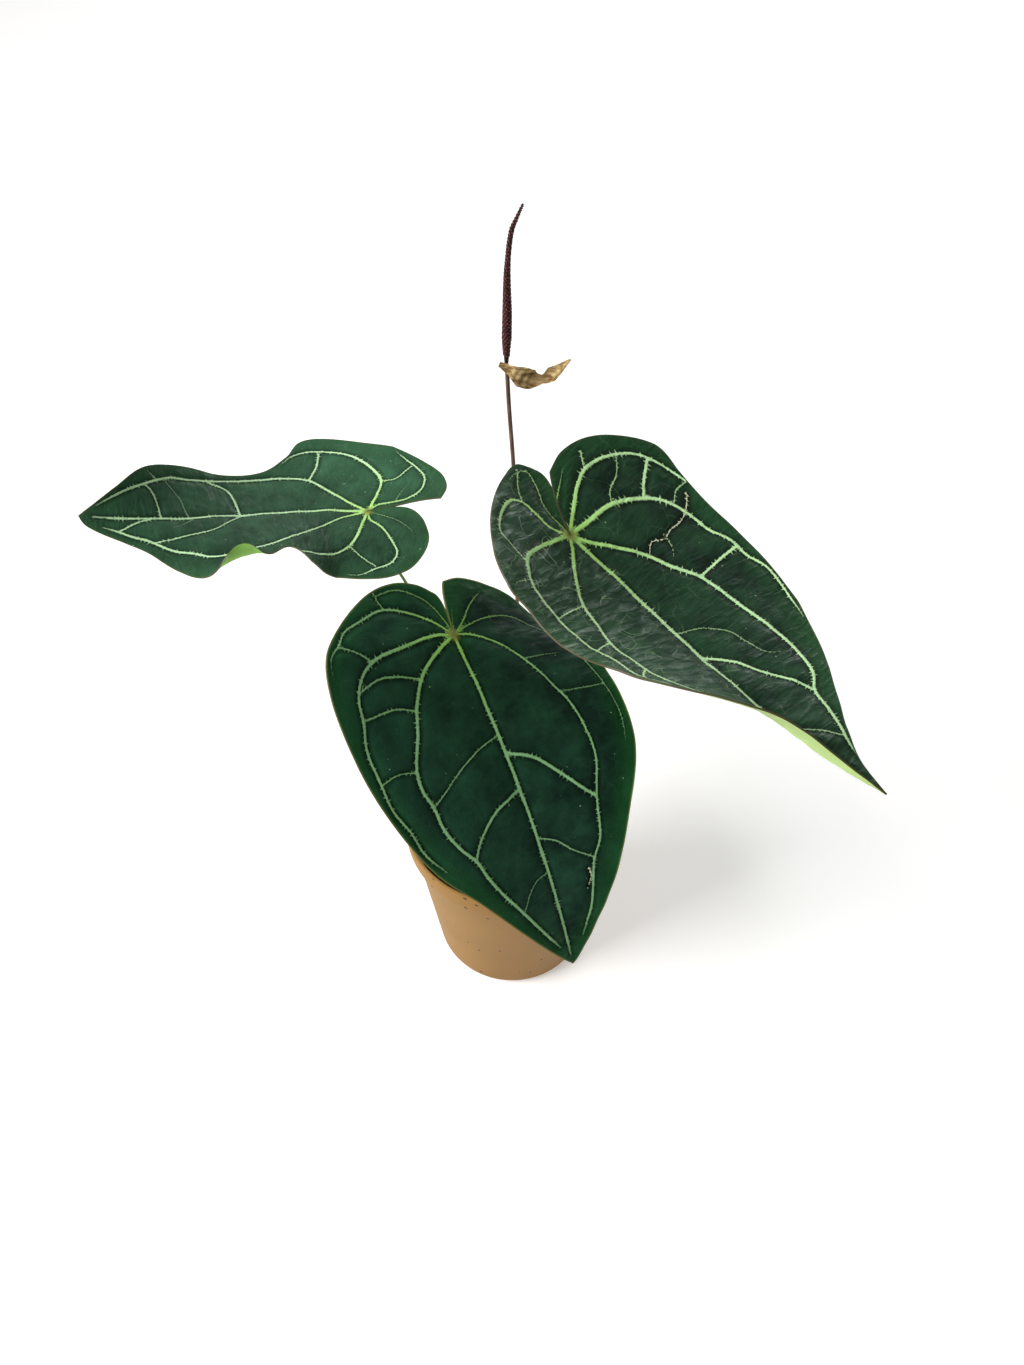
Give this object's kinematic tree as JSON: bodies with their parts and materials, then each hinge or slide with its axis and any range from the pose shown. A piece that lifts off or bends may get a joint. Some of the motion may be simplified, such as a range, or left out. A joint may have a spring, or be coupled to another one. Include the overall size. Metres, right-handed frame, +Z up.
{
  "type": "potted anthurium",
  "caption": "Potted velvet-leaf aroid with heart-shaped veined blades on thin stalks, a dark flower spike with a withered bract, and a round tapered nursery pot.",
  "frame": {"origin": "centre of the pot's flat base, on the surface it stands on", "axes": "+Z up along the pot's axis, -Y towards the front leaf's side, +X towards the right leaf"},
  "size_m": [0.3293, 0.2878, 0.4419],
  "materials": {
    "pot_plastic": "matte sand-coloured moulded plastic",
    "soil": "dark crumbly bark and peat mix",
    "crown": "ringed woody green stem with fleshy roots",
    "sheath": "dry brown papery sheath",
    "petiole": "smooth olive-green stalk",
    "leaf_grey_green": "satin grey-green blade with pale veins",
    "leaf_dark_green": "velvety dark green blade with pale veins",
    "peduncle": "smooth brown flower stalk",
    "spathe": "withered tan papery bract",
    "spadix": "dark maroon spike covered with small florets"
  },
  "bodies": {
    "root": {"pot": "pot_plastic", "soil": "soil", "crown": "crown", "sheath_1": "sheath", "sheath_2": "sheath", "petiole_left": "petiole", "petiole_front": "petiole", "petiole_right": "petiole", "leaf_left": "leaf_grey_green", "leaf_front": "leaf_dark_green", "leaf_right": "leaf_dark_green", "peduncle": "peduncle", "spathe": "spathe", "spadix": "spadix"}
  },
  "joints": []
}
